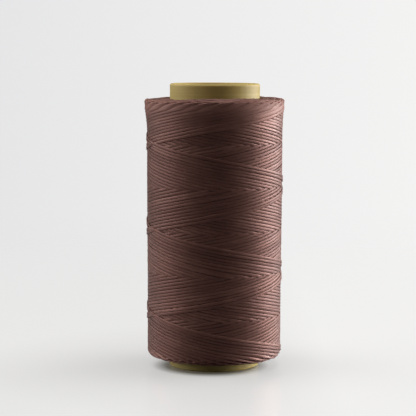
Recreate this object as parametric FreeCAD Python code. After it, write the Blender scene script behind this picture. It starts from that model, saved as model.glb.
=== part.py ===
"""A spool of flat waxed sewing thread, in millimetres, +Z up, standing on the foot of its tube.

The origin is the centre of the tube's foot. A stiff plastic tube runs right through and sticks out at both
ends. One long thread is cross-wound on it: it climbs and falls the length of the package, and each stroke
lies across the one before it. The thread is modelled as the buried layers, a ring with the package's outer
shape, and the outermost turns, one unbroken thread that climbs and falls over that ring.
"""
import FreeCAD, Part

import math
import os

# The tube. FOOT_HEIGHT and NECK_HEIGHT are what sticks out of the thread below and above.
TUBE_RADIUS = 16.95
TUBE_WALL = 1.75
FOOT_HEIGHT = 3.9
NECK_HEIGHT = 5.5
RIM_ROUND = 0.7

# The thread package, out to the tops of its outermost turns. Its shoulder flares a little towards the top.
PACKAGE_LENGTH = 97.6
PACKAGE_RADIUS = 25.9
SHOULDER_RISE = 0.6
SHOULDER_LENGTH = 8.5
CROWN = 0.6
TOP_ROUND = 1.5
FOOT_ROUND = 2.2

# The outermost turns. The round thread has about the section of the real flat one, 1.15 by 0.3 mm. A double
# stroke is one climb and one fall, and each starts a little behind the last, so that all of them together
# share the circle out evenly.
THREAD_DIAMETER = 0.65
DOUBLE_STROKES = 4
TURNS_PER_STROKE = 3
REVERSAL_TURN = 0.25
FIRST_REVERSAL_ANGLE = 17.5

# Clearances.
TUBE_FIT = 0.05
SEAT_GAP = 0.12
CROSSING_GAP = 0.43

tube_length = FOOT_HEIGHT + PACKAGE_LENGTH + NECK_HEIGHT
bore_radius = TUBE_RADIUS - TUBE_WALL
package_top = FOOT_HEIGHT + PACKAGE_LENGTH
shoulder_top = package_top - CROWN - TOP_ROUND
thread_radius = THREAD_DIAMETER / 2
lower_level = SEAT_GAP + thread_radius
upper_level = lower_level + THREAD_DIAMETER + CROSSING_GAP
ring_radius = PACKAGE_RADIUS - upper_level - thread_radius
full_radius = ring_radius + SHOULDER_RISE
stroke_turns = TURNS_PER_STROKE - 0.5 / DOUBLE_STROKES
slanted_turns = stroke_turns - REVERSAL_TURN
crossing_turn = 0.5 / DOUBLE_STROKES


def rounded_corner(before, corner, after, rounding):
    """Where a rounding starts, passes and ends at the corner between two straight sides."""
    back = (before - corner).normalize()
    ahead = (after - corner).normalize()
    half = back.getAngle(ahead) / 2
    cut = rounding / math.tan(half)
    middle = corner + (back + ahead).normalize() * (rounding / math.sin(half) - rounding)
    return corner + back * cut, middle, corner + ahead * cut


def revolved(corners):
    """The solid that a closed outline of (radius, height, rounding) corners sweeps about the Z axis."""
    points = [FreeCAD.Vector(radius, 0, height) for radius, height, rounding in corners]
    bends = []
    for index, point in enumerate(points):
        after = points[(index + 1) % len(points)]
        bends.append(rounded_corner(points[index - 1], point, after, corners[index][2]))
    edges = []
    for index, (start, middle, end) in enumerate(bends):
        edges.append(Part.LineSegment(bends[index - 1][2], start).toShape())
        if corners[index][2]:
            edges.append(Part.Arc(start, middle, end).toShape())
    return Part.Face(Part.Wire(edges)).revolve(FreeCAD.Vector(0, 0, 0), FreeCAD.Vector(0, 0, 1), 360)


def core_tube():
    """The tube: an open pipe with its rims rounded inside and outside."""
    return revolved([
        (bore_radius, 0, RIM_ROUND),
        (TUBE_RADIUS, 0, RIM_ROUND),
        (TUBE_RADIUS, tube_length, RIM_ROUND),
        (bore_radius, tube_length, RIM_ROUND),
    ])


def ring_side():
    """The corners of the buried layers' outside, as (radius, height, rounding) from the foot up."""
    return [
        (ring_radius, FOOT_HEIGHT, FOOT_ROUND),
        (ring_radius, shoulder_top - SHOULDER_LENGTH, 0),
        (full_radius, shoulder_top, 0),
        (full_radius, package_top - CROWN, TOP_ROUND),
    ]


def buried_layers():
    """The thread under the outermost turns: a ring round the tube with a flared shoulder and a low crown."""
    inner = TUBE_RADIUS + TUBE_FIT
    return revolved([(inner, FOOT_HEIGHT, 0), *ring_side(), (inner, package_top, 0)])


def ring_side_at(height):
    """The radius and the outward slope of the buried layers' side at a height."""
    side = ring_side()
    for (low_radius, low, _), (high_radius, high, _) in zip(side, side[1:]):
        if height <= high:
            slope = (high_radius - low_radius) / (high - low)
            return low_radius + slope * (height - low), slope
    return full_radius, 0.0


def stroke_places():
    """Where the route is pinned, stroke by stroke: (stroke, turns along its slant, level above the ring)."""
    strokes = 2 * DOUBLE_STROKES
    steps = math.ceil(4 * slanted_turns)
    places = []
    for stroke in range(strokes):
        level = lower_level if stroke % 2 == 0 else upper_level
        places += [(stroke, slanted_turns * step / steps, level) for step in range(steps + 1)]
    # The loose end stays on top up to its last crossing, then comes down on the ring before the next one.
    last_crossing = slanted_turns - crossing_turn
    places = [place for place in places if place[0] < strokes - 1 or place[1] < last_crossing]
    places.append((strokes - 1, last_crossing, upper_level))
    places.append((strokes - 1, slanted_turns - crossing_turn / 2, lower_level))
    return places


def thread_stations():
    """The points that the route passes through and its directions there: (point, direction) pairs."""
    reach = shoulder_top - FOOT_HEIGHT - FOOT_ROUND
    # At each end a rounded reversal stands a quarter of its own turns' climb above the slants that it joins.
    lead = reach / (slanted_turns + REVERSAL_TURN / 2)
    slant_foot = FOOT_HEIGHT + FOOT_ROUND + lead * REVERSAL_TURN / 4
    stations = []
    for stroke, turns, level in stroke_places():
        climb = lead if stroke % 2 == 0 else -lead
        start = slant_foot if stroke % 2 == 0 else slant_foot + lead * slanted_turns
        height = start + climb * turns
        side, slope = ring_side_at(height)
        turned = stroke * stroke_turns + REVERSAL_TURN / 2 + turns
        angle = math.radians(FIRST_REVERSAL_ANGLE) + math.tau * turned
        outward = FreeCAD.Vector(math.cos(angle), math.sin(angle), 0)
        around = FreeCAD.Vector(-math.sin(angle), math.cos(angle), 0)
        upward = FreeCAD.Vector(0, 0, 1)
        direction = around * (side + level) + (upward + outward * slope) * (climb / math.tau)
        stations.append((outward * (side + level) + upward * height, direction.normalize()))
    return stations


def arc_from(start, direction, end):
    """The arc that leaves its start along a direction."""
    chord = end - start
    bisector = (direction + FreeCAD.Vector(chord).normalize()).normalize()
    half_chord = chord.Length / 2
    middle = start + bisector * (half_chord / math.cos(direction.getAngle(chord) / 2))
    return Part.Arc(start, middle, end)


def biarc(start, leaving, end, arriving):
    """Two arcs from one station to the next, tangent to each other and to both directions."""
    span = end - start
    along = span.dot(leaving + arriving)
    spread = 2 * (1 - leaving.dot(arriving))
    arm = (math.sqrt(along * along + spread * span.dot(span)) - along) / spread
    before = start + leaving * arm
    after = end - arriving * arm
    joint = (before + after) * 0.5
    return [arc_from(start, leaving, joint), arc_from(joint, (after - before).normalize(), end)]


def thread_route():
    """The centre line of the outermost turns: arcs between stations, and a short straight at each end."""
    stations = thread_stations()
    (first, first_direction), (last, last_direction) = stations[0], stations[-1]
    curves = [Part.LineSegment(first - first_direction * THREAD_DIAMETER, first)]
    for (start, leaving), (end, arriving) in zip(stations, stations[1:]):
        curves += biarc(start, leaving, end, arriving)
    return curves + [Part.LineSegment(last, last + last_direction * THREAD_DIAMETER)]


def least_gap(curves):
    """The least space between two stretches of the thread, measured on points along its centre line."""
    spacing = THREAD_DIAMETER / 4
    points = []
    travelled = 0.0
    for curve in curves:
        length = curve.length()
        count = math.ceil(length / spacing)
        for number in range(count):
            share = number / count
            at = curve.FirstParameter + (curve.LastParameter - curve.FirstParameter) * share
            points.append((curve.value(at), travelled + length * share))
        travelled += length
    cell = 2 * (THREAD_DIAMETER + CROSSING_GAP)
    cells = {}
    for point, along in points:
        key = tuple(math.floor(value / cell) for value in point)
        cells.setdefault(key, []).append((point, along))
    steps = (-1, 0, 1)
    least = cell
    for (x, y, z), members in cells.items():
        around = [cells.get((x + dx, y + dy, z + dz), []) for dx in steps for dy in steps for dz in steps]
        near = [other for group in around for other in group]
        for point, along in members:
            apart = [point.distanceToPoint(other) for other, place in near if place - along > TUBE_RADIUS]
            least = min([least, *apart])
    return least - THREAD_DIAMETER


def outermost_turns():
    """The outermost turns: one round thread swept along its route."""
    curves = thread_route()
    route = Part.Wire([curve.toShape() for curve in curves])
    start = curves[0].StartPoint
    section = Part.Wire(Part.makeCircle(thread_radius, start, curves[0].EndPoint - start))
    thread = route.makePipeShell([section], True, False)
    turns = 2 * DOUBLE_STROKES * stroke_turns - REVERSAL_TURN - crossing_turn / 2
    tightest = min(1 / curve.curvature(curve.FirstParameter) for curve in curves[1:-1])
    swept = route.Length * math.pi * thread_radius**2
    print(f"outermost turns: {turns:.2f} turns, {route.Length:.0f} mm, tightest radius {tightest:.1f} mm")
    print(f"outermost turns: volume over section times length {thread.Volume / swept:.4f}")
    print(f"outermost turns: least gap to itself {least_gap(curves):.3f} mm")
    return thread


def main():
    """Builds each piece and writes it to its own file."""
    os.makedirs("parts", exist_ok=True)
    pieces = {
        "core_tube": core_tube(),
        "thread_buried_layers": buried_layers(),
        "thread_outermost_turns": outermost_turns(),
    }
    for name, shape in pieces.items():
        box = shape.optimalBoundingBox(False)
        size = f"{box.XLength:.2f} x {box.YLength:.2f} x {box.ZLength:.2f} mm"
        print(f"{name}: {len(shape.Solids)} solid, valid {shape.isValid()}, {size}, from z {box.ZMin:.2f}")
        shape.exportStep(f"parts/{name}.step")


main()
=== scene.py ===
"""A tall spool of flat waxed thread, cross-wound on an open plastic tube.

The winding is laid as the machine lays it. The tube turns while the guide climbs and falls, and each double
stroke starts a little further round than the last, so 27 of them cover the tube once. A strand lies on every
strand that was laid before it, and that alone makes the chequered bands on the side and the rope-like ends.
"""

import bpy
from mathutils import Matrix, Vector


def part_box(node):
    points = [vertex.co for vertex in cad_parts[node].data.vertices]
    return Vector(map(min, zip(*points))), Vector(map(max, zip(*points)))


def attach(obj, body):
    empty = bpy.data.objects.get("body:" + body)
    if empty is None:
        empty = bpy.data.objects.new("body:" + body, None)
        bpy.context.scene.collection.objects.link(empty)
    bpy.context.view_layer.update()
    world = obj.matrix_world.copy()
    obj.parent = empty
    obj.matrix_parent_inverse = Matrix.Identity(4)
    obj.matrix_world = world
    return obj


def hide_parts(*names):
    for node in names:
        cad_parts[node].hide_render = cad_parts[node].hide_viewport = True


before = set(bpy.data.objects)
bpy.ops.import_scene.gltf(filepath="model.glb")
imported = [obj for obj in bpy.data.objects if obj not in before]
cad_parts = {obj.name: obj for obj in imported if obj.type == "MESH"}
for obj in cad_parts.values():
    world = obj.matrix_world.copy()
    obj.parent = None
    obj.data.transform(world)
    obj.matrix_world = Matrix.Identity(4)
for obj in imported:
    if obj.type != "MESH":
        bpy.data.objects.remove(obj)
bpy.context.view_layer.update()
tube_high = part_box("core_tube")[1]

import math

import bmesh
import bpy
from bpy.props import FloatProperty, FloatVectorProperty, IntProperty, PointerProperty
from mathutils import Vector, noise

bl_info = {
    "name": "Waxed Thread Spool",
    "version": (1, 0, 0),
    "blender": (4, 5, 0),
    "location": "View3D > Sidebar > Spool",
    "description": "Builds a cross-wound spool of flat waxed thread on its open tube",
    "category": "Add Mesh",
}

MM = 0.001

# How often each straying of the outer turns changes in a radian, and where it reads the noise
WANDER = (0.35, 0.5)
FINE_WANDER = (1.3, 8.5)
LIFT = (0.8, 3.5)
ROLL = (0.6, 5.5)
JUMP = (0.35, 11.5)

# Where the straying of the buried strokes' bends reads it
UPPER_FACE, LOWER_FACE, UPPER_RIM = 0.5, 9.5, 30.5


# Sizes and colours

def length(name, description, default):
    """A length that the sidebar shows in the scene's unit."""
    return FloatProperty(
        name=name, description=description, default=default, min=0, unit="LENGTH", precision=5
    )


def angle(name, description, default):
    """An angle in radians, which the sidebar shows in degrees."""
    return FloatProperty(name=name, description=description, default=default, subtype="ANGLE")


def share(name, description, default):
    """A share, or the strength of a finish, from 0 to 1."""
    return FloatProperty(name=name, description=description, default=default, min=0, max=1)


def count(name, description, default):
    """A number of things that can be counted."""
    return IntProperty(name=name, description=description, default=default, min=1)


def colour(name, description, default):
    """A colour, as linear red, green and blue."""
    return FloatVectorProperty(
        name=name, description=description, default=default, size=3, min=0, max=1, subtype="COLOR"
    )


class TubeSettings(bpy.types.PropertyGroup):
    radius: length("Radius", "Outside radius of the tube", tube_high[0])
    height: length("Height", "Height of the tube", tube_high[2])
    wall: length("Wall", "Thickness of the tube's wall", 1.75 * MM)
    rim_round: length("Rim rounding", "Rounding of both rims, inside and outside", 0.7 * MM)
    plastic: colour("Plastic", "Colour of the tube", (0.47, 0.365, 0.135))
    streak: colour("Streaks", "Colour of the faint streaks round the tube", (0.38, 0.28, 0.088))
    roughness: share("Roughness", "Roughness of the plastic where it is smoothest", 0.42)
    gloss: share("Gloss", "Strength of the plastic's reflections", 0.15)
    glow: share("Translucence", "Share of the light that passes a little way into the plastic", 0.12)


class WindingSettings(bpy.types.PropertyGroup):
    strands: count("Double strokes", "Double strokes that cover the tube once", 27)
    newest: count("Newest strokes", "Double strokes laid over the ones that cover the tube", 2)
    turns: count("Turns", "Turns of the tube in one stroke", 3)
    first_angle: angle(
        "First angle", "Where the first stroke leaves the foot, from the front towards the right",
        math.radians(99.5),
    )
    width: length("Strand width", "Width of the flat thread", 1.09 * MM)
    thickness: length("Strand thickness", "Thickness of the flat thread", 0.30 * MM)
    foot: length(
        "Lower turning height", "Where falling strokes would turn back if they had no bend", 4.15 * MM
    )
    head: length(
        "Upper turning height", "Where climbing strokes would turn back if they had no bend", 101.3 * MM
    )
    slant: length("Slant", "How much higher the upper end stands on the right than in front", 0.2 * MM)
    bend: angle("Bend", "Turn over which a stroke bends, each side of its turning point", math.radians(12))

    radius: length("Bed radius", "Radius of the layers under the outer turns, near the foot", 24.72 * MM)
    swell: length("Swell", "How much wider the upper half of the bed is", 0.22 * MM)
    swell_start: length("Swell start", "Height at which the bed starts to widen", 25 * MM)
    swell_height: length("Swell height", "Height over which the bed widens", 45 * MM)
    flare: length("Flare", "How much the bed widens at its upper edge", 0.75 * MM)
    flare_height: length("Flare height", "Height over which the flare widens", 12 * MM)
    flare_drop: length("Flare drop", "From the top of the flare to the upper turning height", 1.6 * MM)
    sway: length("Sway", "How far the flare stands to the left", 0.26 * MM)
    head_round: length("Upper rounding", "Rounding of the bed's upper edge", 2.6 * MM)
    head_drop: length("Upper drop", "From the bed's upper edge to the upper turning height", 0.1 * MM)
    foot_round: length("Lower rounding", "Rounding of the bed's lower edge", 2.7 * MM)

    cone: length("Cone", "How far the upper face stands over the upper turning height", 0.6 * MM)
    crown: length("Crown", "How much higher the upper face is at the tube than at its edge", 0.8 * MM)
    face_edge: length("Face edge", "Height of the face's edge over the upper turning height", 0.25 * MM)
    wave: length("Wave", "How far the upper face rises and sinks, three times round the tube", 0.25 * MM)
    wave_fade: share("Wave fade", "Share of the upper face's wave that is gone at its edge", 0.7)
    crest: angle(
        "Crest", "Where the upper face stands highest, from the front towards the right", math.radians(8)
    )

    wander: angle("Wander", "How far a strand strays round the spool from its even place", math.radians(0.8))
    lift: length("Lift", "How far a strand lifts off what it lies on", 0.06 * MM)
    roll: angle("Roll", "How far a strand rolls to one side", 0.14)
    jump: length("Jump", "How far a turning point strays up or down", 0.35 * MM)
    press_height: length("Press height", "Height at the upper end over which strands lie pressed", 12 * MM)
    press_ease: length("Press easing", "Height over which the pressing sets in", 9 * MM)
    press: share("Press", "How far the pressing brings strands to one level", 0.45)
    press_level: FloatProperty(
        name="Press level", description="The level that pressed strands come to, in strands above the bed",
        default=0.9, min=0,
    )
    spread: share("Spread", "How much wider a pressed strand lies, as a share of its width", 1.0)
    seed: IntProperty(name="Seed", description="Chooses how the strands stray", default=7)


class EndSettings(bpy.types.PropertyGroup):
    row: length("Row spacing", "From one row of the buried strokes' bends to the next", 0.56 * MM)
    row_turn: angle("Row turn", "How far each row is turned against the last", math.tau * 0.381966)
    depth: length("Bend depth", "Depth of a bent strand, outwards", 0.52 * MM)
    height: length("Bend height", "Height of a bent strand", 0.84 * MM)
    reach: angle("Reach", "Turn that a bend shows, each side of its turning point", math.radians(34))
    wander: angle("Wander", "How far a bend strays round the spool", math.radians(3.5))
    stray: length("Stray", "How far a bend strays up or down", 0.5 * MM)
    slip: length("Slip", "How far outwards a bend starts, and how far inwards it ends", 0.15 * MM)
    slip_turn: angle("Slip turn", "Turn over which a bend slips inwards", math.radians(26))
    sink: length("Sink", "How far the middle of a bend lies under the upper face", 0.42 * MM)
    lower_rise: length("Lower rise", "How far lower bends lie over their turning height", 0.35 * MM)
    upper_inset: length("Upper inset", "Depth under the upper turning height at the outer row", 0.54 * MM)
    lower_inset: length("Lower inset", "Height over the lower turning height at the outer row", 0.6 * MM)
    overhang: length("Overhang", "How far the rows reach past the bed's edge", 0.5 * MM)
    # Painted shade: the faces' thread is darkened against the outer turns.
    shade: share("Shade", "Brightness of the faces' thread, against that of the outer turns", 0.66)
    rim_layers: count("Rim layers", "Layers of bends that show through the outer turns at the rim", 3)
    rim_step: length("Rim step", "From one layer of the rim's bends to the next, inwards", 0.075 * MM)
    rim_wander: angle("Rim wander", "How far the rim's bends stray round the spool", math.radians(2))
    rim_stray: length("Rim stray", "How far the rim's bends stray up or down", 0.3 * MM)
    rim_spread: FloatProperty(
        name="Rim spread", description="Size of the rim's bends, as a share of a loose strand's", default=1.2,
        min=0,
    )


class ThreadSettings(bpy.types.PropertyGroup):
    fibre: colour("Thread", "Colour of the waxed thread", (0.167, 0.073, 0.057))
    pale: colour("Pale thread", "Colour of the thread's palest stretches", (0.204, 0.095, 0.074))
    dark: colour("Dark thread", "Colour of the thread's darkest stretches", (0.131, 0.055, 0.043))
    roughness: share("Roughness", "Roughness of the wax", 0.48)
    gloss: share("Gloss", "Strength of the wax's colourless reflections", 0.25)
    sheen: share("Sheen", "Share of the light that the wax reflects in the thread's colour", 0.38)
    lost_sheen: share("Lost sheen", "How much less sheen the wax has at the upper end", 0.24)
    # The wax dulls over this band, and the same band is painted paler: painted light.
    dull_and_painted_light_from: length("Dull from", "Where the wax starts to lose its sheen towards the upper end", 94 * MM)
    dull_and_painted_light_to: length("Dull to", "Where the wax is dullest", 99 * MM)


class StageSettings(bpy.types.PropertyGroup):
    # The floor's glow colours are painted light and shade: darkest under the foot as a painted contact
    # shadow, darker round the foot, and brighter on the right than on the left as painted light.
    floor: colour("Floor", "Colour of the floor near the spool", (0.22, 0.22, 0.22))
    right_glow: colour("Right glow", "The floor's own brightness on the right", (0.60, 0.596, 0.59))
    left_glow: colour("Left glow", "The floor's own brightness on the left", (0.54, 0.537, 0.53))
    near_glow: colour("Near glow", "The floor's own brightness round the foot", (0.45, 0.445, 0.435))
    foot_painted_shadow: colour("Foot glow", "The floor's own brightness under the foot", (0.045, 0.040, 0.028))
    foot_place: FloatVectorProperty(
        name="Foot's shade", description="Middle of the darkest part of the floor", subtype="TRANSLATION",
        default=(-1.2 * MM, -2.5 * MM, 0),
    )
    shade_from: length("Shade from", "How far from its middle the foot's shade starts to fade", 16.8 * MM)
    shade_to: length("Shade to", "How far from its middle the foot's shade ends", 22.3 * MM)
    far: length("Far", "How far from the foot the floor comes to its full brightness", 90 * MM)
    fade_from: length("Fade from", "Where the floor starts to fade into the backdrop", 0.08)
    fade_to: length("Fade to", "Where the floor has faded into the backdrop", 0.6)
    bounce: share("Floor bounce", "Share of light that the floor throws on the spool", 0.2)
    roughness: share("Floor roughness", "Roughness of the floor", 0.3)
    gloss: share("Floor gloss", "Strength of the floor's reflections", 0.8)
    # The backdrop is painted brighter on the right than on the left: painted light.
    backdrop: colour("Backdrop", "Colour behind the spool on the right", (0.90, 0.895, 0.89))
    far_backdrop: colour("Backdrop, left", "Colour behind the spool on the left", (0.79, 0.79, 0.80))
    room: share("Room light", "Strength of the light from all around", 0.035)
    mirrored: share("Mirrored backdrop", "How bright the backdrop looks in gloss", 0.25)
    lens: FloatProperty(
        name="Lens", description="Focal length of the camera", default=138.74, subtype="DISTANCE_CAMERA"
    )
    distance: length("Camera distance", "From the camera to the spool's axis", 0.605)
    eye: length("Camera height", "Height of the camera above the floor", 0.12115)
    aside: FloatProperty(
        name="Aside", description="How far right of the axis the camera stands", default=-2.66 * MM,
        unit="LENGTH",
    )
    tilt: angle("Tilt", "How far the camera looks down", math.radians(5.784))
    roll: angle("Roll", "How far the camera leans to its left", math.radians(0.2))


class SpoolSettings(bpy.types.PropertyGroup):
    tube: PointerProperty(type=TubeSettings, name="Tube", description="The plastic tube")
    winding: PointerProperty(type=WindingSettings, name="Winding", description="How the thread is wound")
    ends: PointerProperty(type=EndSettings, name="Ends", description="The buried strokes' bends")
    thread: PointerProperty(type=ThreadSettings, name="Thread", description="Finish of the thread")
    stage: PointerProperty(type=StageSettings, name="Stage", description="Floor, backdrop and camera")


# Shader maths

class Value:
    """A shader socket with the arithmetic that the finishes use."""

    def __init__(self, finish, socket):
        self.finish = finish
        self.socket = socket

    def maths(self, operation, first, second):
        return self.finish.node("ShaderNodeMath", {"operation": operation}, {0: first, 1: second})

    def __add__(self, other):
        return self.maths("ADD", self, other)

    __radd__ = __add__

    def __mul__(self, other):
        return self.maths("MULTIPLY", self, other)

    __rmul__ = __mul__

    def __sub__(self, other):
        return self.maths("SUBTRACT", self, other)

    def __rsub__(self, other):
        return self.maths("SUBTRACT", other, self)


class Finish:
    """A material or a world that is being made from nodes."""

    def __init__(self, owner):
        self.owner = owner
        self.owner.use_nodes = True
        self.tree = self.owner.node_tree
        self.tree.nodes.clear()

    def node(self, kind, settings=None, sockets=None, output=0):
        """A node with its settings, then its sockets' values or links. Returns one of its outputs."""
        node = self.tree.nodes.new(kind)
        for name, setting in (settings or {}).items():
            setattr(node, name, setting)
        usable = [socket for socket in node.inputs if socket.enabled]
        for name, value in (sockets or {}).items():
            if isinstance(name, int):
                socket = usable[name]
            else:
                socket = next(socket for socket in usable if socket.name == name)
            if isinstance(value, Value):
                self.tree.links.new(value.socket, socket)
            elif hasattr(value, "__len__") and len(value) < len(socket.default_value):
                socket.default_value = (*value, 1)
            else:
                socket.default_value = value
        if not node.outputs:
            return None
        outputs = node.outputs
        if isinstance(output, int):
            outputs = [socket for socket in outputs if socket.enabled]
        return Value(self, outputs[output])

    def mix(self, factor, first, second):
        """Colours blended by a factor."""
        sockets = {"Factor": factor, "A": first, "B": second}
        return self.node("ShaderNodeMix", {"data_type": "RGBA"}, sockets)

    def spread(self, value, low, high):
        """A value from low to high as 0 to 1, held inside."""
        return self.node("ShaderNodeMapRange", {}, {"Value": value, "From Min": low, "From Max": high})

    def place(self, scale=(1, 1, 1), of="Object"):
        """Where the surface is: on the object's own axes, or on its UV map, scaled."""
        where = self.node("ShaderNodeTexCoord", output=of)
        return self.node("ShaderNodeMapping", {}, {"Vector": where, "Scale": scale})

    def along(self, place, axis):
        """How far a place lies along an axis."""
        return self.node("ShaderNodeSeparateXYZ", {}, {"Vector": place}, output=axis)

    def noise(self, lumps, detail=2.0, of="Object"):
        """Soft noise with so many lumps to a metre along each axis."""
        sockets = {"Vector": self.place(lumps, of), "Scale": 1.0, "Detail": detail}
        return self.node("ShaderNodeTexNoise", {}, sockets)

    def bump(self, height, depth, strength=1.0):
        """A normal from a height of 0 to 1 that stands for a depth in metres."""
        return self.node("ShaderNodeBump", {}, {"Height": height, "Distance": depth, "Strength": strength})

    def seen(self, in_gloss):
        """1 for the rays that show the background: the camera's, and those off gloss and through glass."""
        kinds = ("Is Camera Ray", "Is Glossy Ray", "Is Transmission Ray")
        camera, glossy, transmission = [self.node("ShaderNodeLightPath", output=kind) for kind in kinds]
        return camera + glossy * in_gloss + transmission

    def end(self, shader, kind="ShaderNodeOutputMaterial"):
        """Ends the material or world in a shader and returns it."""
        self.node(kind, {}, {"Surface": shader})
        return self.owner


# Helpers for the pieces

def settings(context):
    """The spool's settings."""
    return context.scene.spool


def stand_for(name, mesh, material, slot, *nodes):
    """Shows a finished mesh as a piece that stands for CAD nodes and takes the given finish. The slot is not
    used.
    """
    mesh.polygons.foreach_set("use_smooth", [True] * len(mesh.polygons))
    mesh.materials.append(material)
    piece = bpy.data.objects.new(name, mesh)
    bpy.context.scene.collection.objects.link(piece)
    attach(piece, "root")
    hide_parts(*nodes)


def outline_of(form, points):
    """A closed outline in a bmesh through (radius, height) points. Returns its face."""
    return form.faces.new([form.verts.new((radius, 0, height)) for radius, height in points])


def spun(form, steps):
    """Spins a face's outline into a closed ring and points its faces outwards."""
    bmesh.ops.delete(form, geom=form.faces[:], context="FACES_ONLY")
    bmesh.ops.spin(
        form, geom=form.verts[:] + form.edges[:], cent=(0, 0, 0), axis=(0, 0, 1), angle=math.tau, steps=steps,
        use_merge=True,
    )
    bmesh.ops.recalc_face_normals(form, faces=form.faces[:])


def mesh_of(form, name):
    """The finished mesh of a bmesh."""
    mesh = bpy.data.meshes.new(name)
    form.to_mesh(mesh)
    form.free()
    return mesh


def smooth(value):
    """Eases a value of 0 to 1."""
    value = min(max(value, 0.0), 1.0)
    return value * value * (3 - 2 * value)


# The package's form

def rounding_at(height, start, radius):
    """How far a rounded edge has drawn in at a height past its start, and how far it leans over."""
    steepest = 0.95 * radius
    past = min(max(height - start, 0.0), steepest)
    return radius - math.sqrt(radius * radius - past * past), math.asin(past / radius)


def flare_at(winding, height):
    """How far into the flare a height is, from 0 below it to 1 at its top."""
    return min(max(1 - (winding.head - winding.flare_drop - height) / winding.flare_height, 0.0), 1.0)


def bed_at(winding, height):
    """The radius of the bed that the outer turns lie on, and how far it leans inwards, at a height."""
    swell = winding.swell * smooth((height - winding.swell_start) / winding.swell_height)
    flare = flare_at(winding, height)
    above = rounding_at(height, winding.head - winding.head_drop - winding.head_round, winding.head_round)
    below = rounding_at(-height, -winding.foot - winding.foot_round, winding.foot_round)
    radius = winding.radius + swell + winding.flare * flare ** 2
    outwards = math.atan(2 * winding.flare * flare / winding.flare_height) if flare < 1 else 0.0
    return radius - above[0] - below[0], above[1] - below[1] - outwards


def sway_at(winding, height):
    """How far the flare stands to the left at a height."""
    return winding.sway * flare_at(winding, height) ** 2


def upper_face_at(winding, tube, radius):
    """The height of the upper face at a radius: a low cone that rounds off into the side."""
    out = (radius - tube.radius) / (winding.radius - tube.radius)
    cone = winding.head + winding.cone - winding.crown * out
    past = radius - (winding.radius + winding.swell + winding.flare - winding.head_round)
    drop = rounding_at(past, 0.0, winding.head_round)[0]
    return min(cone, winding.head + winding.face_edge - drop)


def rise_at(winding, around, out):
    """How far the upper end stands above that at an angle round the tube, from its slant and its wave."""
    wave = winding.wave * math.cos(3 * (around + math.pi / 2 - winding.crest))
    return winding.slant * math.cos(around) + wave * (1 - winding.wave_fade * out)


# The winding

def stroke_turn(winding):
    """The turn of the tube in one stroke, with a little more that sets each stroke beside the last."""
    return math.tau * winding.turns + math.pi / winding.strands


def climb(winding):
    """How far a stroke climbs in a radian."""
    return (winding.head - winding.foot) / stroke_turn(winding)


def crossings(winding):
    """The last crossing on a stroke, counted from its upper end."""
    return 2 * winding.turns * winding.strands + 1


def strands_beneath(winding, stroke, falling, crossing):
    """How many strands a stroke lies on at one of its crossings, counted from its upper end."""
    own = stroke // winding.strands
    if crossing in (0, crossings(winding)):
        return own + 0.5
    if falling:
        oldest = (stroke + crossing) % winding.strands
        return own + max(0, (stroke - oldest) // winding.strands + 1)
    oldest = (stroke - crossing) % winding.strands
    return own + max(0, math.ceil((stroke - oldest) / winding.strands))


def level_at(winding, stroke, falling, place):
    """The strands beneath a stroke between two crossings, eased from one to the next."""
    flat = 0.15
    before = math.floor(place)
    after = min(before + 1, crossings(winding))
    low = strands_beneath(winding, stroke, falling, before)
    high = strands_beneath(winding, stroke, falling, after)
    return low + (high - low) * smooth((place - before - flat) / (1 - 2 * flat))


def bent(winding, near):
    """How far below its turning height a stroke is, as turns of its slope, so far from its turning point."""
    if near > winding.bend:
        return near
    return winding.bend / 2 + near * near / (2 * winding.bend)


def chance(winding, turned, kind):
    """A soft chance of -1 to 1 for one kind of straying, after the tube has turned so far."""
    often, draw = kind
    return noise.noise(Vector((turned * often, winding.seed, draw)))


def wound_point(winding, turned):
    """Where the thread's centre is after the tube has turned so far, its roll there and how wide it lies."""
    whole = stroke_turn(winding)
    double, within = divmod(turned, 2 * whole)
    falling = within > whole
    from_foot = within if not falling else 2 * whole - within
    from_head = whole - from_foot
    near = min(from_foot, from_head)
    drop = climb(winding) * bent(winding, near)
    height = winding.foot + drop if from_foot < from_head else winding.head - drop

    wander = 1.5 * chance(winding, turned, WANDER) + 0.5 * chance(winding, turned, FINE_WANDER)
    around = winding.first_angle + turned + winding.wander * wander - math.pi / 2
    level = level_at(winding, int(double), falling, crossings(winding) * from_head / whole)
    bed, lean = bed_at(winding, height)

    # Strands at the upper end lie pressed flat and wide, and their levels draw together.
    turning = smooth(1 - near / (2 * winding.bend))
    pressed = smooth((height - winding.head + winding.press_height) / winding.press_ease)
    widened = pressed * (1 - 0.5 * turning)
    level += (winding.press_level - level) * winding.press * pressed
    loose = 1 - widened
    lift = winding.lift * loose * chance(winding, turned, LIFT)
    roll = winding.roll * loose * chance(winding, turned, ROLL)
    radius = bed + winding.thickness * (0.5 + level - 0.2 * widened) + lift

    height += winding.jump * turning * chance(winding, turned, JUMP)
    up = (height - winding.foot) / (winding.head - winding.foot)
    height += rise_at(winding, around, 1.0) * up - winding.slant * (1 + math.cos(around)) * (1 - up)
    across = radius * math.cos(around) - sway_at(winding, height)
    return (across, radius * math.sin(around), height), lean + roll, 1 + winding.spread * widened


def section_curve(name, points):
    """A closed flat curve through points, for another curve's bevel."""
    data = bpy.data.curves.new(name, "CURVE")
    data.dimensions = "2D"
    spline = data.splines.new("POLY")
    spline.points.add(len(points) - 1)
    spline.points.foreach_set("co", [value for x, y in points for value in (x, y, 0, 1)])
    spline.use_cyclic_u = True
    return bpy.data.objects.new(name, data)


def strand_section(winding, name="strand_section"):
    """The flat thread's section, flat outside with rounded edges: its thickness on X and its width on Y."""
    half, rise = winding.width / 2, winding.thickness / 2
    edge = [(-0.3 * rise, -half), (0.4 * rise, -0.94 * half), (0.8 * rise, -0.8 * half), (rise, -0.5 * half)]
    other_edge = [(x, -y) for x, y in reversed(edge)]
    inside = [(-rise, 0.6 * half), (-rise, -0.6 * half)]
    return section_curve(name, edge + other_edge + inside)


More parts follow.
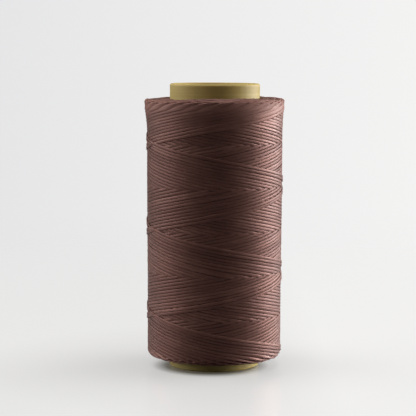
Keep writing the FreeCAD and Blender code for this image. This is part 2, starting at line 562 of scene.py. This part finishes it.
def strand_mesh(name, runs, section):
    """Sweeps the section along runs of (point, roll, size) and closes their ends. Its UV map is in metres."""
    data = bpy.data.curves.new(name, "CURVE")
    data.dimensions = "3D"
    data.twist_mode = "Z_UP"
    data.bevel_mode = "OBJECT"
    data.bevel_object = section
    data.use_fill_caps = True
    for run in runs:
        spline = data.splines.new("POLY")
        spline.points.add(len(run) - 1)
        spline.points.foreach_set("co", [value for point, _, _ in run for value in (*point, 1)])
        spline.points.foreach_set("tilt", [roll for _, roll, _ in run])
        spline.points.foreach_set("radius", [size for _, _, size in run])
    thread = bpy.data.objects.new(name, data)
    bpy.context.scene.collection.objects.link(thread)
    graph = bpy.context.evaluated_depsgraph_get()
    mesh = bpy.data.meshes.new_from_object(thread.evaluated_get(graph))
    bpy.data.objects.remove(thread)
    bpy.data.curves.remove(data)

    form = bmesh.new()
    form.from_mesh(mesh)
    bmesh.ops.remove_doubles(form, verts=form.verts[:], dist=0.001 * MM)
    bmesh.ops.recalc_face_normals(form, faces=form.faces[:])
    form.to_mesh(mesh)
    form.free()

    places = [Vector(point) for point, _, _ in runs[0]]
    reach = sum((after - before).length for before, after in zip(places, places[1:]))
    corners = mesh.uv_layers[0].uv
    flat = [0.0] * (2 * len(corners))
    corners.foreach_get("vector", flat)
    flat[0::2] = [along * reach for along in flat[0::2]]
    corners.foreach_set("vector", flat)
    mesh.name = name
    return mesh


# The buried strokes' bends

def end_section(ends, sides=6):
    """The section of a bent strand: an oval with few sides, because there are hundreds of bends."""
    turns = [math.tau * (side + 0.5) / sides for side in range(sides)]
    points = [(math.cos(turn) * ends.depth / 2, math.sin(turn) * ends.height / 2) for turn in turns]
    return section_curve("end_section", points)


def end_chances(row, strand, end):
    """Two soft chances of -1 to 1 for a bend: how far it strays round the spool, and how far up or down."""
    draw = Vector((row * 3.7, strand * 1.9, end))
    return noise.noise(draw), noise.noise(draw + Vector((20, 0, 0)))


def turns_across(ends, steps):
    """Even steps over the turn that a bend shows, from one side of its turning point to the other."""
    return [ends.reach * (2 * step / steps - 1) for step in range(steps + 1)]


def face_runs(winding, ends, tube, upper):
    """The bends that show on the upper or the lower face, row by row from the tube outwards."""
    turn_height = winding.head - ends.upper_inset if upper else winding.foot + ends.lower_inset
    edge = bed_at(winding, turn_height)[0] + ends.overhang
    rows = round((edge - tube.radius) / ends.row)
    runs = []
    for row in range(rows):
        out = (row + 0.5) / rows
        radius = tube.radius + (edge - tube.radius) * out
        sway = winding.sway * out if upper else 0.0
        for strand in range(winding.strands):
            aside, up = end_chances(row, strand, UPPER_FACE if upper else LOWER_FACE)
            start = math.tau * strand / winding.strands + ends.row_turn * row + ends.wander * aside
            if upper:
                peak = upper_face_at(winding, tube, radius) + rise_at(winding, start, out) - ends.sink
            else:
                peak = winding.foot + ends.lower_rise - winding.slant * (1 + math.cos(start))
            runs.append(face_run(winding, ends, start, radius, peak + ends.stray * up, upper, sway))
    return runs


def face_run(winding, ends, start, radius, peak, upper, sway):
    """One bend of a face: it comes from the side, turns at its peak and goes back, a little further in."""
    run = []
    for away in turns_across(ends, steps=8):
        around = start + away
        drop = climb(winding) * (bent(winding, abs(away)) - winding.bend / 2)
        slipped = radius + ends.slip * (1 - 2 * smooth(0.5 + away / ends.slip_turn))
        height = peak - drop if upper else peak + drop
        run.append(((slipped * math.cos(around) - sway, slipped * math.sin(around), height), 0.0, 1.0))
    return run


def rim_runs(winding, ends):
    """The bends just under the outer turns at the upper rim, layer by layer inwards."""
    runs = []
    for layer in range(ends.rim_layers):
        under_turns = 0.6 * winding.thickness - ends.rim_step * layer
        for strand in range(winding.strands):
            aside, up = end_chances(layer, strand, UPPER_RIM)
            start = math.tau * (strand + layer / ends.rim_layers) / winding.strands + ends.rim_wander * aside
            peak = winding.head - winding.head_drop + ends.rim_stray * up
            run = []
            for away in turns_across(ends, steps=16):
                around = start + away
                height = peak - climb(winding) * bent(winding, abs(away))
                bed, lean = bed_at(winding, height)
                radius = bed + under_turns
                across = radius * math.cos(around) - sway_at(winding, height)
                height += rise_at(winding, around, 1.0)
                run.append(((across, radius * math.sin(around), height), lean, ends.rim_spread))
            runs.append(run)
    return runs


# Finishes

def waxed_thread(thread, name="waxed_thread", shade=1.0):
    """Flat filament thread with a satin wax coat. U runs along it in metres, V once round it. A shade below 1
    darkens all its colours as painted shade.
    """
    finish = Finish(bpy.data.materials.new(name))
    stretch = finish.noise((4, 0.4, 1), detail=3.0, of="UV")
    filament = finish.noise((260, 70, 1), of="UV")
    patch = finish.noise((160, 160, 160))
    tone = finish.spread(stretch * 0.6 + patch * 0.25 + filament * 0.15, 0.34, 0.66)
    tints = (thread.dark, thread.fibre, thread.pale)
    # shade scales every tone down: painted shade.
    dark, fibre, pale = [[shade * value for value in tint] for tint in tints]
    body = finish.mix(finish.spread(tone, 0.5, 1.0), finish.mix(tone, dark, fibre), pale)

    # The pressed strands at the upper end are duller, and their colour is painted paler there: painted light
    # on the shoulder.
    dull_and_painted_light = finish.spread(finish.along(finish.place(), "Z"), thread.dull_and_painted_light_from, thread.dull_and_painted_light_to)
    # This tone, brighter than the thread's palest stretches, is painted light.
    palest = [1.45 * value for value in pale]
    body = finish.mix(dull_and_painted_light * 0.5, body, palest)
    roughness = finish.spread(patch, 0.0, 1.0) * 0.2 + (thread.roughness - 0.1) + dull_and_painted_light * 0.1
    return finish.end(finish.node("ShaderNodeBsdfPrincipled", {}, {
        "Base Color": body, "Roughness": roughness, "Metallic": thread.sheen - dull_and_painted_light * thread.lost_sheen,
        "Specular IOR Level": thread.gloss, "Normal": finish.bump(filament, 0.03 * MM, 0.7),
    }))


def buried_thread(thread):
    """The layers that only show in the gaps between strands: the same thread, dark with the gaps' shade."""
    finish = Finish(bpy.data.materials.new("buried_thread"))
    lines = finish.noise((180, 180, 900))
    body = finish.mix(lines, [0.45 * value for value in thread.dark], thread.dark)
    return finish.end(finish.node("ShaderNodeBsdfPrincipled", {}, {
        "Base Color": body, "Roughness": 0.7, "Specular IOR Level": thread.gloss,
        "Normal": finish.bump(lines, 0.1 * MM),
    }))


def drawn_plastic(tube):
    """Olive-yellow plastic with the faint lines that drawing it through a die leaves."""
    finish = Finish(bpy.data.materials.new("tube_plastic"))
    lines = finish.noise((25, 25, 1500), detail=3.0)
    cloud = finish.noise((60, 60, 60))
    body = finish.mix(finish.spread(lines * 0.6 + cloud * 0.4, 0.35, 0.68), tube.streak, tube.plastic)
    return finish.end(finish.node("ShaderNodeBsdfPrincipled", {}, {
        "Base Color": body, "Roughness": finish.spread(cloud, 0.0, 1.0) * 0.12 + tube.roughness,
        "Specular IOR Level": tube.gloss, "Normal": finish.bump(lines, 0.04 * MM, 0.5),
        "Subsurface Weight": tube.glow, "Subsurface Radius": (1.0, 0.7, 0.25), "Subsurface Scale": 3 * MM,
    }))


def floor_painted_light(finish, stage, place):
    """The floor's painted light and shade: a glow of its own, dark round the foot as a painted contact
    shadow, then brighter outwards, most of all to the right as painted light.
    """
    away = finish.node(
        "ShaderNodeVectorMath", {"operation": "DISTANCE"}, {0: place, 1: stage.foot_place}, output="Value"
    )
    # Painted contact shadow: the glow is darkest under the foot and comes up outwards.
    glow = finish.mix(finish.spread(away, stage.shade_from, stage.shade_to), stage.foot_painted_shadow, stage.near_glow)
    glow = finish.mix(finish.spread(away, stage.shade_to, stage.far), glow, stage.left_glow)
    # Painted light: the glow is brighter to the right, clear of the foot.
    painted_light_rightwards = finish.spread(finish.along(place, "X"), 12 * MM, stage.far / 2)
    clear_of_foot = finish.spread(away, 17 * MM, 26 * MM)
    return finish.mix(painted_light_rightwards * clear_of_foot, glow, stage.right_glow)


def studio_floor(stage):
    """A pale floor that keeps the spool's shadow, adds a painted glow with a painted shadow round the foot,
    and fades into the backdrop further out.
    """
    finish = Finish(bpy.data.materials.new("studio_floor"))
    place = finish.place()
    seen = finish.seen(in_gloss=finish.spread(finish.along(place, "Y"), -0.02, 0.2))
    pale = finish.mix(finish.noise((40, 40, 40)) * 0.05, stage.floor, [0.9 * value for value in stage.floor])
    lit = finish.node("ShaderNodeBsdfPrincipled", {}, {
        "Base Color": finish.mix(seen, [stage.bounce] * 3, pale), "Roughness": stage.roughness,
        "Specular IOR Level": stage.gloss, "Emission Strength": 1.0,
        # The emission is the floor's painted light and painted shadow.
        "Emission Color": finish.mix(seen, (0, 0, 0), floor_painted_light(finish, stage, place)),
    })
    clear = finish.node("ShaderNodeBsdfTransparent", {}, {"Color": (1, 1, 1)})
    out = finish.node("ShaderNodeVectorMath", {"operation": "LENGTH"}, {0: place}, output="Value")
    fade = finish.node(
        "ShaderNodeMapRange", {"interpolation_type": "SMOOTHSTEP"},
        {"Value": out, "From Min": stage.fade_from, "From Max": stage.fade_to},
    )
    return finish.end(finish.node("ShaderNodeMixShader", {}, {0: fade, 1: lit, 2: clear}))


def studio_world(stage):
    """A pale backdrop for what looks at it, painted brighter to the right as painted light, which gloss shows
    only behind the spool, and a dim room.
    """
    finish = Finish(bpy.data.worlds.new("studio"))
    direction = finish.node("ShaderNodeTexCoord", output="Generated")
    # Painted light: the backdrop brightens towards the right.
    painted_light_rightwards = finish.spread(finish.along(direction, "X"), -0.13, 0.13)
    tone = finish.mix(painted_light_rightwards, stage.far_backdrop, stage.backdrop)
    backdrop = finish.node("ShaderNodeBackground", {}, {"Color": tone})
    room = finish.node("ShaderNodeBackground", {}, {"Color": (1, 1, 1), "Strength": stage.room})
    behind = finish.spread(finish.along(direction, "Y"), 0.6, 1.0)
    seen = finish.seen(in_gloss=behind * stage.mirrored)
    return finish.end(
        finish.node("ShaderNodeMixShader", {}, {0: seen, 1: room, 2: backdrop}), "ShaderNodeOutputWorld"
    )


# Operators

class SPOOL_OT_tube(bpy.types.Operator):
    """Build the open plastic tube with its rounded rims"""
    bl_idname = "spool.tube"
    bl_label = "Tube"

    def execute(self, context):
        tube = settings(context).tube
        inner = tube.radius - tube.wall
        near_rim = 1.2 * MM
        form = bmesh.new()
        corners = [(inner, 0), (tube.radius, 0), (tube.radius, tube.height), (inner, tube.height)]
        wall = outline_of(form, corners)
        bmesh.ops.bevel(
            form, geom=wall.verts[:], offset=tube.rim_round, offset_type="OFFSET", segments=6, profile=0.5,
            affect="VERTICES", material=-1,
        )
        spun(form, steps=160)
        # Rings near both rims keep the rounding's shading off the long wall.
        for height in (near_rim, tube.height / 2, tube.height - near_rim):
            bmesh.ops.bisect_plane(
                form, geom=form.verts[:] + form.edges[:] + form.faces[:], plane_co=(0, 0, height),
                plane_no=(0, 0, 1),
            )
        stand_for("tube", mesh_of(form, "tube"), drawn_plastic(tube), "tube", "core_tube")
        return {"FINISHED"}


class SPOOL_OT_buried_layers(bpy.types.Operator):
    """Build the bed of thread that the outer turns and the end turns lie on"""
    bl_idname = "spool.buried_layers"
    bl_label = "Buried layers"

    def execute(self, context):
        spool = settings(context)
        winding, tube = spool.winding, spool.tube
        inner = tube.radius + 0.03 * MM
        under_turns = 0.05 * MM
        under_face = 1.1 * MM
        low, high = winding.foot + 0.5 * MM, winding.head - 0.5 * MM
        steps = 60
        side = [low + (high - low) * step / steps for step in range(steps + 1)]
        middle = (inner + winding.radius) / 2
        points = [(inner, low)]
        points += [(bed_at(winding, height)[0] - under_turns, height) for height in side]
        points += [(radius, upper_face_at(winding, tube, radius) - under_face) for radius in (middle, inner)]
        form = bmesh.new()
        outline_of(form, points)
        spun(form, steps=128)
        for corner in form.verts:
            if corner.co.xy.length > middle:
                corner.co.x -= sway_at(winding, corner.co.z)
        mesh = mesh_of(form, "thread_bed")
        stand_for("thread_bed", mesh, buried_thread(spool.thread), "thread", "thread_buried_layers")
        return {"FINISHED"}


class SPOOL_OT_end_turns(bpy.types.Operator):
    """Build the bends of the buried layers that show on both faces and at the upper rim"""
    bl_idname = "spool.end_turns"
    bl_label = "End turns"

    def execute(self, context):
        spool = settings(context)
        winding, ends = spool.winding, spool.ends
        section = end_section(ends)
        for face in ("upper", "lower"):
            name = f"{face}_face_turns"
            mesh = strand_mesh(name, face_runs(winding, ends, spool.tube, face == "upper"), section)
            # The faces take a darker copy of the thread: painted shade.
            material = waxed_thread(spool.thread, f"waxed_thread_{face}", ends.shade)
            stand_for(name, mesh, material, "thread", "thread_buried_layers")
        mesh = strand_mesh("upper_rim_turns", rim_runs(winding, ends), strand_section(winding, "rim_section"))
        material = waxed_thread(spool.thread, "waxed_thread_rim")
        stand_for("upper_rim_turns", mesh, material, "thread", "thread_buried_layers")
        return {"FINISHED"}


class SPOOL_OT_outer_turns(bpy.types.Operator):
    """Lay the outermost turns as one unbroken thread, in three pieces that join end to end"""
    bl_idname = "spool.outer_turns"
    bl_label = "Outer turns"

    def execute(self, context):
        spool = settings(context)
        winding = spool.winding
        whole = 2 * stroke_turn(winding) * (winding.strands + winding.newest)
        steps = math.ceil(whole / math.radians(3))
        line = [wound_point(winding, whole * step / steps) for step in range(steps)]
        section = strand_section(winding)
        material = waxed_thread(spool.thread)
        pieces = 3
        for piece in range(pieces):
            first, past = steps * piece // pieces, steps * (piece + 1) // pieces + 1
            name = f"outer_turns_{piece + 1}"
            mesh = strand_mesh(name, [line[first:past]], section)
            stand_for(name, mesh, material, "thread", "thread_outermost_turns")
        return {"FINISHED"}


class SPOOL_OT_stage(bpy.types.Operator):
    """Set up the floor, the backdrop, the soft lights and the camera"""
    bl_idname = "spool.stage"
    bl_label = "Stage"

    def execute(self, context):
        stage = settings(context).stage
        form = bmesh.new()
        bmesh.ops.create_circle(form, cap_ends=True, segments=96, radius=1.0)
        floor = bpy.data.objects.new("floor", mesh_of(form, "floor"))
        floor.data.materials.append(studio_floor(stage))
        context.scene.collection.objects.link(floor)

        camera = bpy.data.objects.new("camera", bpy.data.cameras.new("camera"))
        camera.data.lens = stage.lens
        camera.data.sensor_width = 36
        camera.data.clip_start = 0.01
        camera.location = (stage.aside, -stage.distance, stage.eye)
        camera.rotation_euler = (math.pi / 2 - stage.tilt, -stage.roll, 0)
        context.scene.collection.objects.link(camera)
        context.scene.camera = camera

        softbox("right_softbox", place=(1.59, 0.53, 0.35), width=1.6, height=0.6, power=54.0)
        softbox("left_softbox", place=(-1.52, 0.18, 0.60), width=1.9, height=0.7, power=24.0)
        softbox("top_softbox", place=(0.0, 0.02, 1.10), width=0.9, height=0.4, power=9.7)

        context.scene.world = studio_world(stage)
        context.scene.view_settings.view_transform = "Standard"
        return {"FINISHED"}


def softbox(name, place, width, height, power):
    """A large soft light that faces the middle of the spool, in metres and watts."""
    data = bpy.data.lights.new(name, "AREA")
    data.shape = "RECTANGLE"
    data.size = width
    data.size_y = height
    data.energy = power
    light = bpy.data.objects.new(name, data)
    light.location = place
    spool_middle = Vector((0, 0, 0.05))
    light.rotation_euler = (spool_middle - Vector(place)).to_track_quat("-Z", "Y").to_euler()
    light.visible_camera = False
    bpy.context.scene.collection.objects.link(light)


class SPOOL_PT_panel(bpy.types.Panel):
    """Lists the spool's pieces"""
    bl_label = "Waxed Thread Spool"
    bl_space_type = "VIEW_3D"
    bl_region_type = "UI"
    bl_category = "Spool"

    def draw(self, context):
        for operator in OPERATORS:
            self.layout.operator(operator.bl_idname)


OPERATORS = (SPOOL_OT_tube, SPOOL_OT_buried_layers, SPOOL_OT_end_turns, SPOOL_OT_outer_turns, SPOOL_OT_stage)
SETTINGS = (TubeSettings, WindingSettings, EndSettings, ThreadSettings, StageSettings, SpoolSettings)
CLASSES = (*SETTINGS, *OPERATORS, SPOOL_PT_panel)


def register():
    for cls in CLASSES:
        bpy.utils.register_class(cls)
    bpy.types.Scene.spool = PointerProperty(type=SpoolSettings)


def unregister():
    del bpy.types.Scene.spool
    for cls in reversed(CLASSES):
        bpy.utils.unregister_class(cls)


def main():
    """Builds the spool and its stage."""
    register()
    bpy.ops.spool.tube()
    bpy.ops.spool.buried_layers()
    bpy.ops.spool.end_turns()
    bpy.ops.spool.outer_turns()
    bpy.ops.spool.stage()


if __name__ == "__main__":
    main()
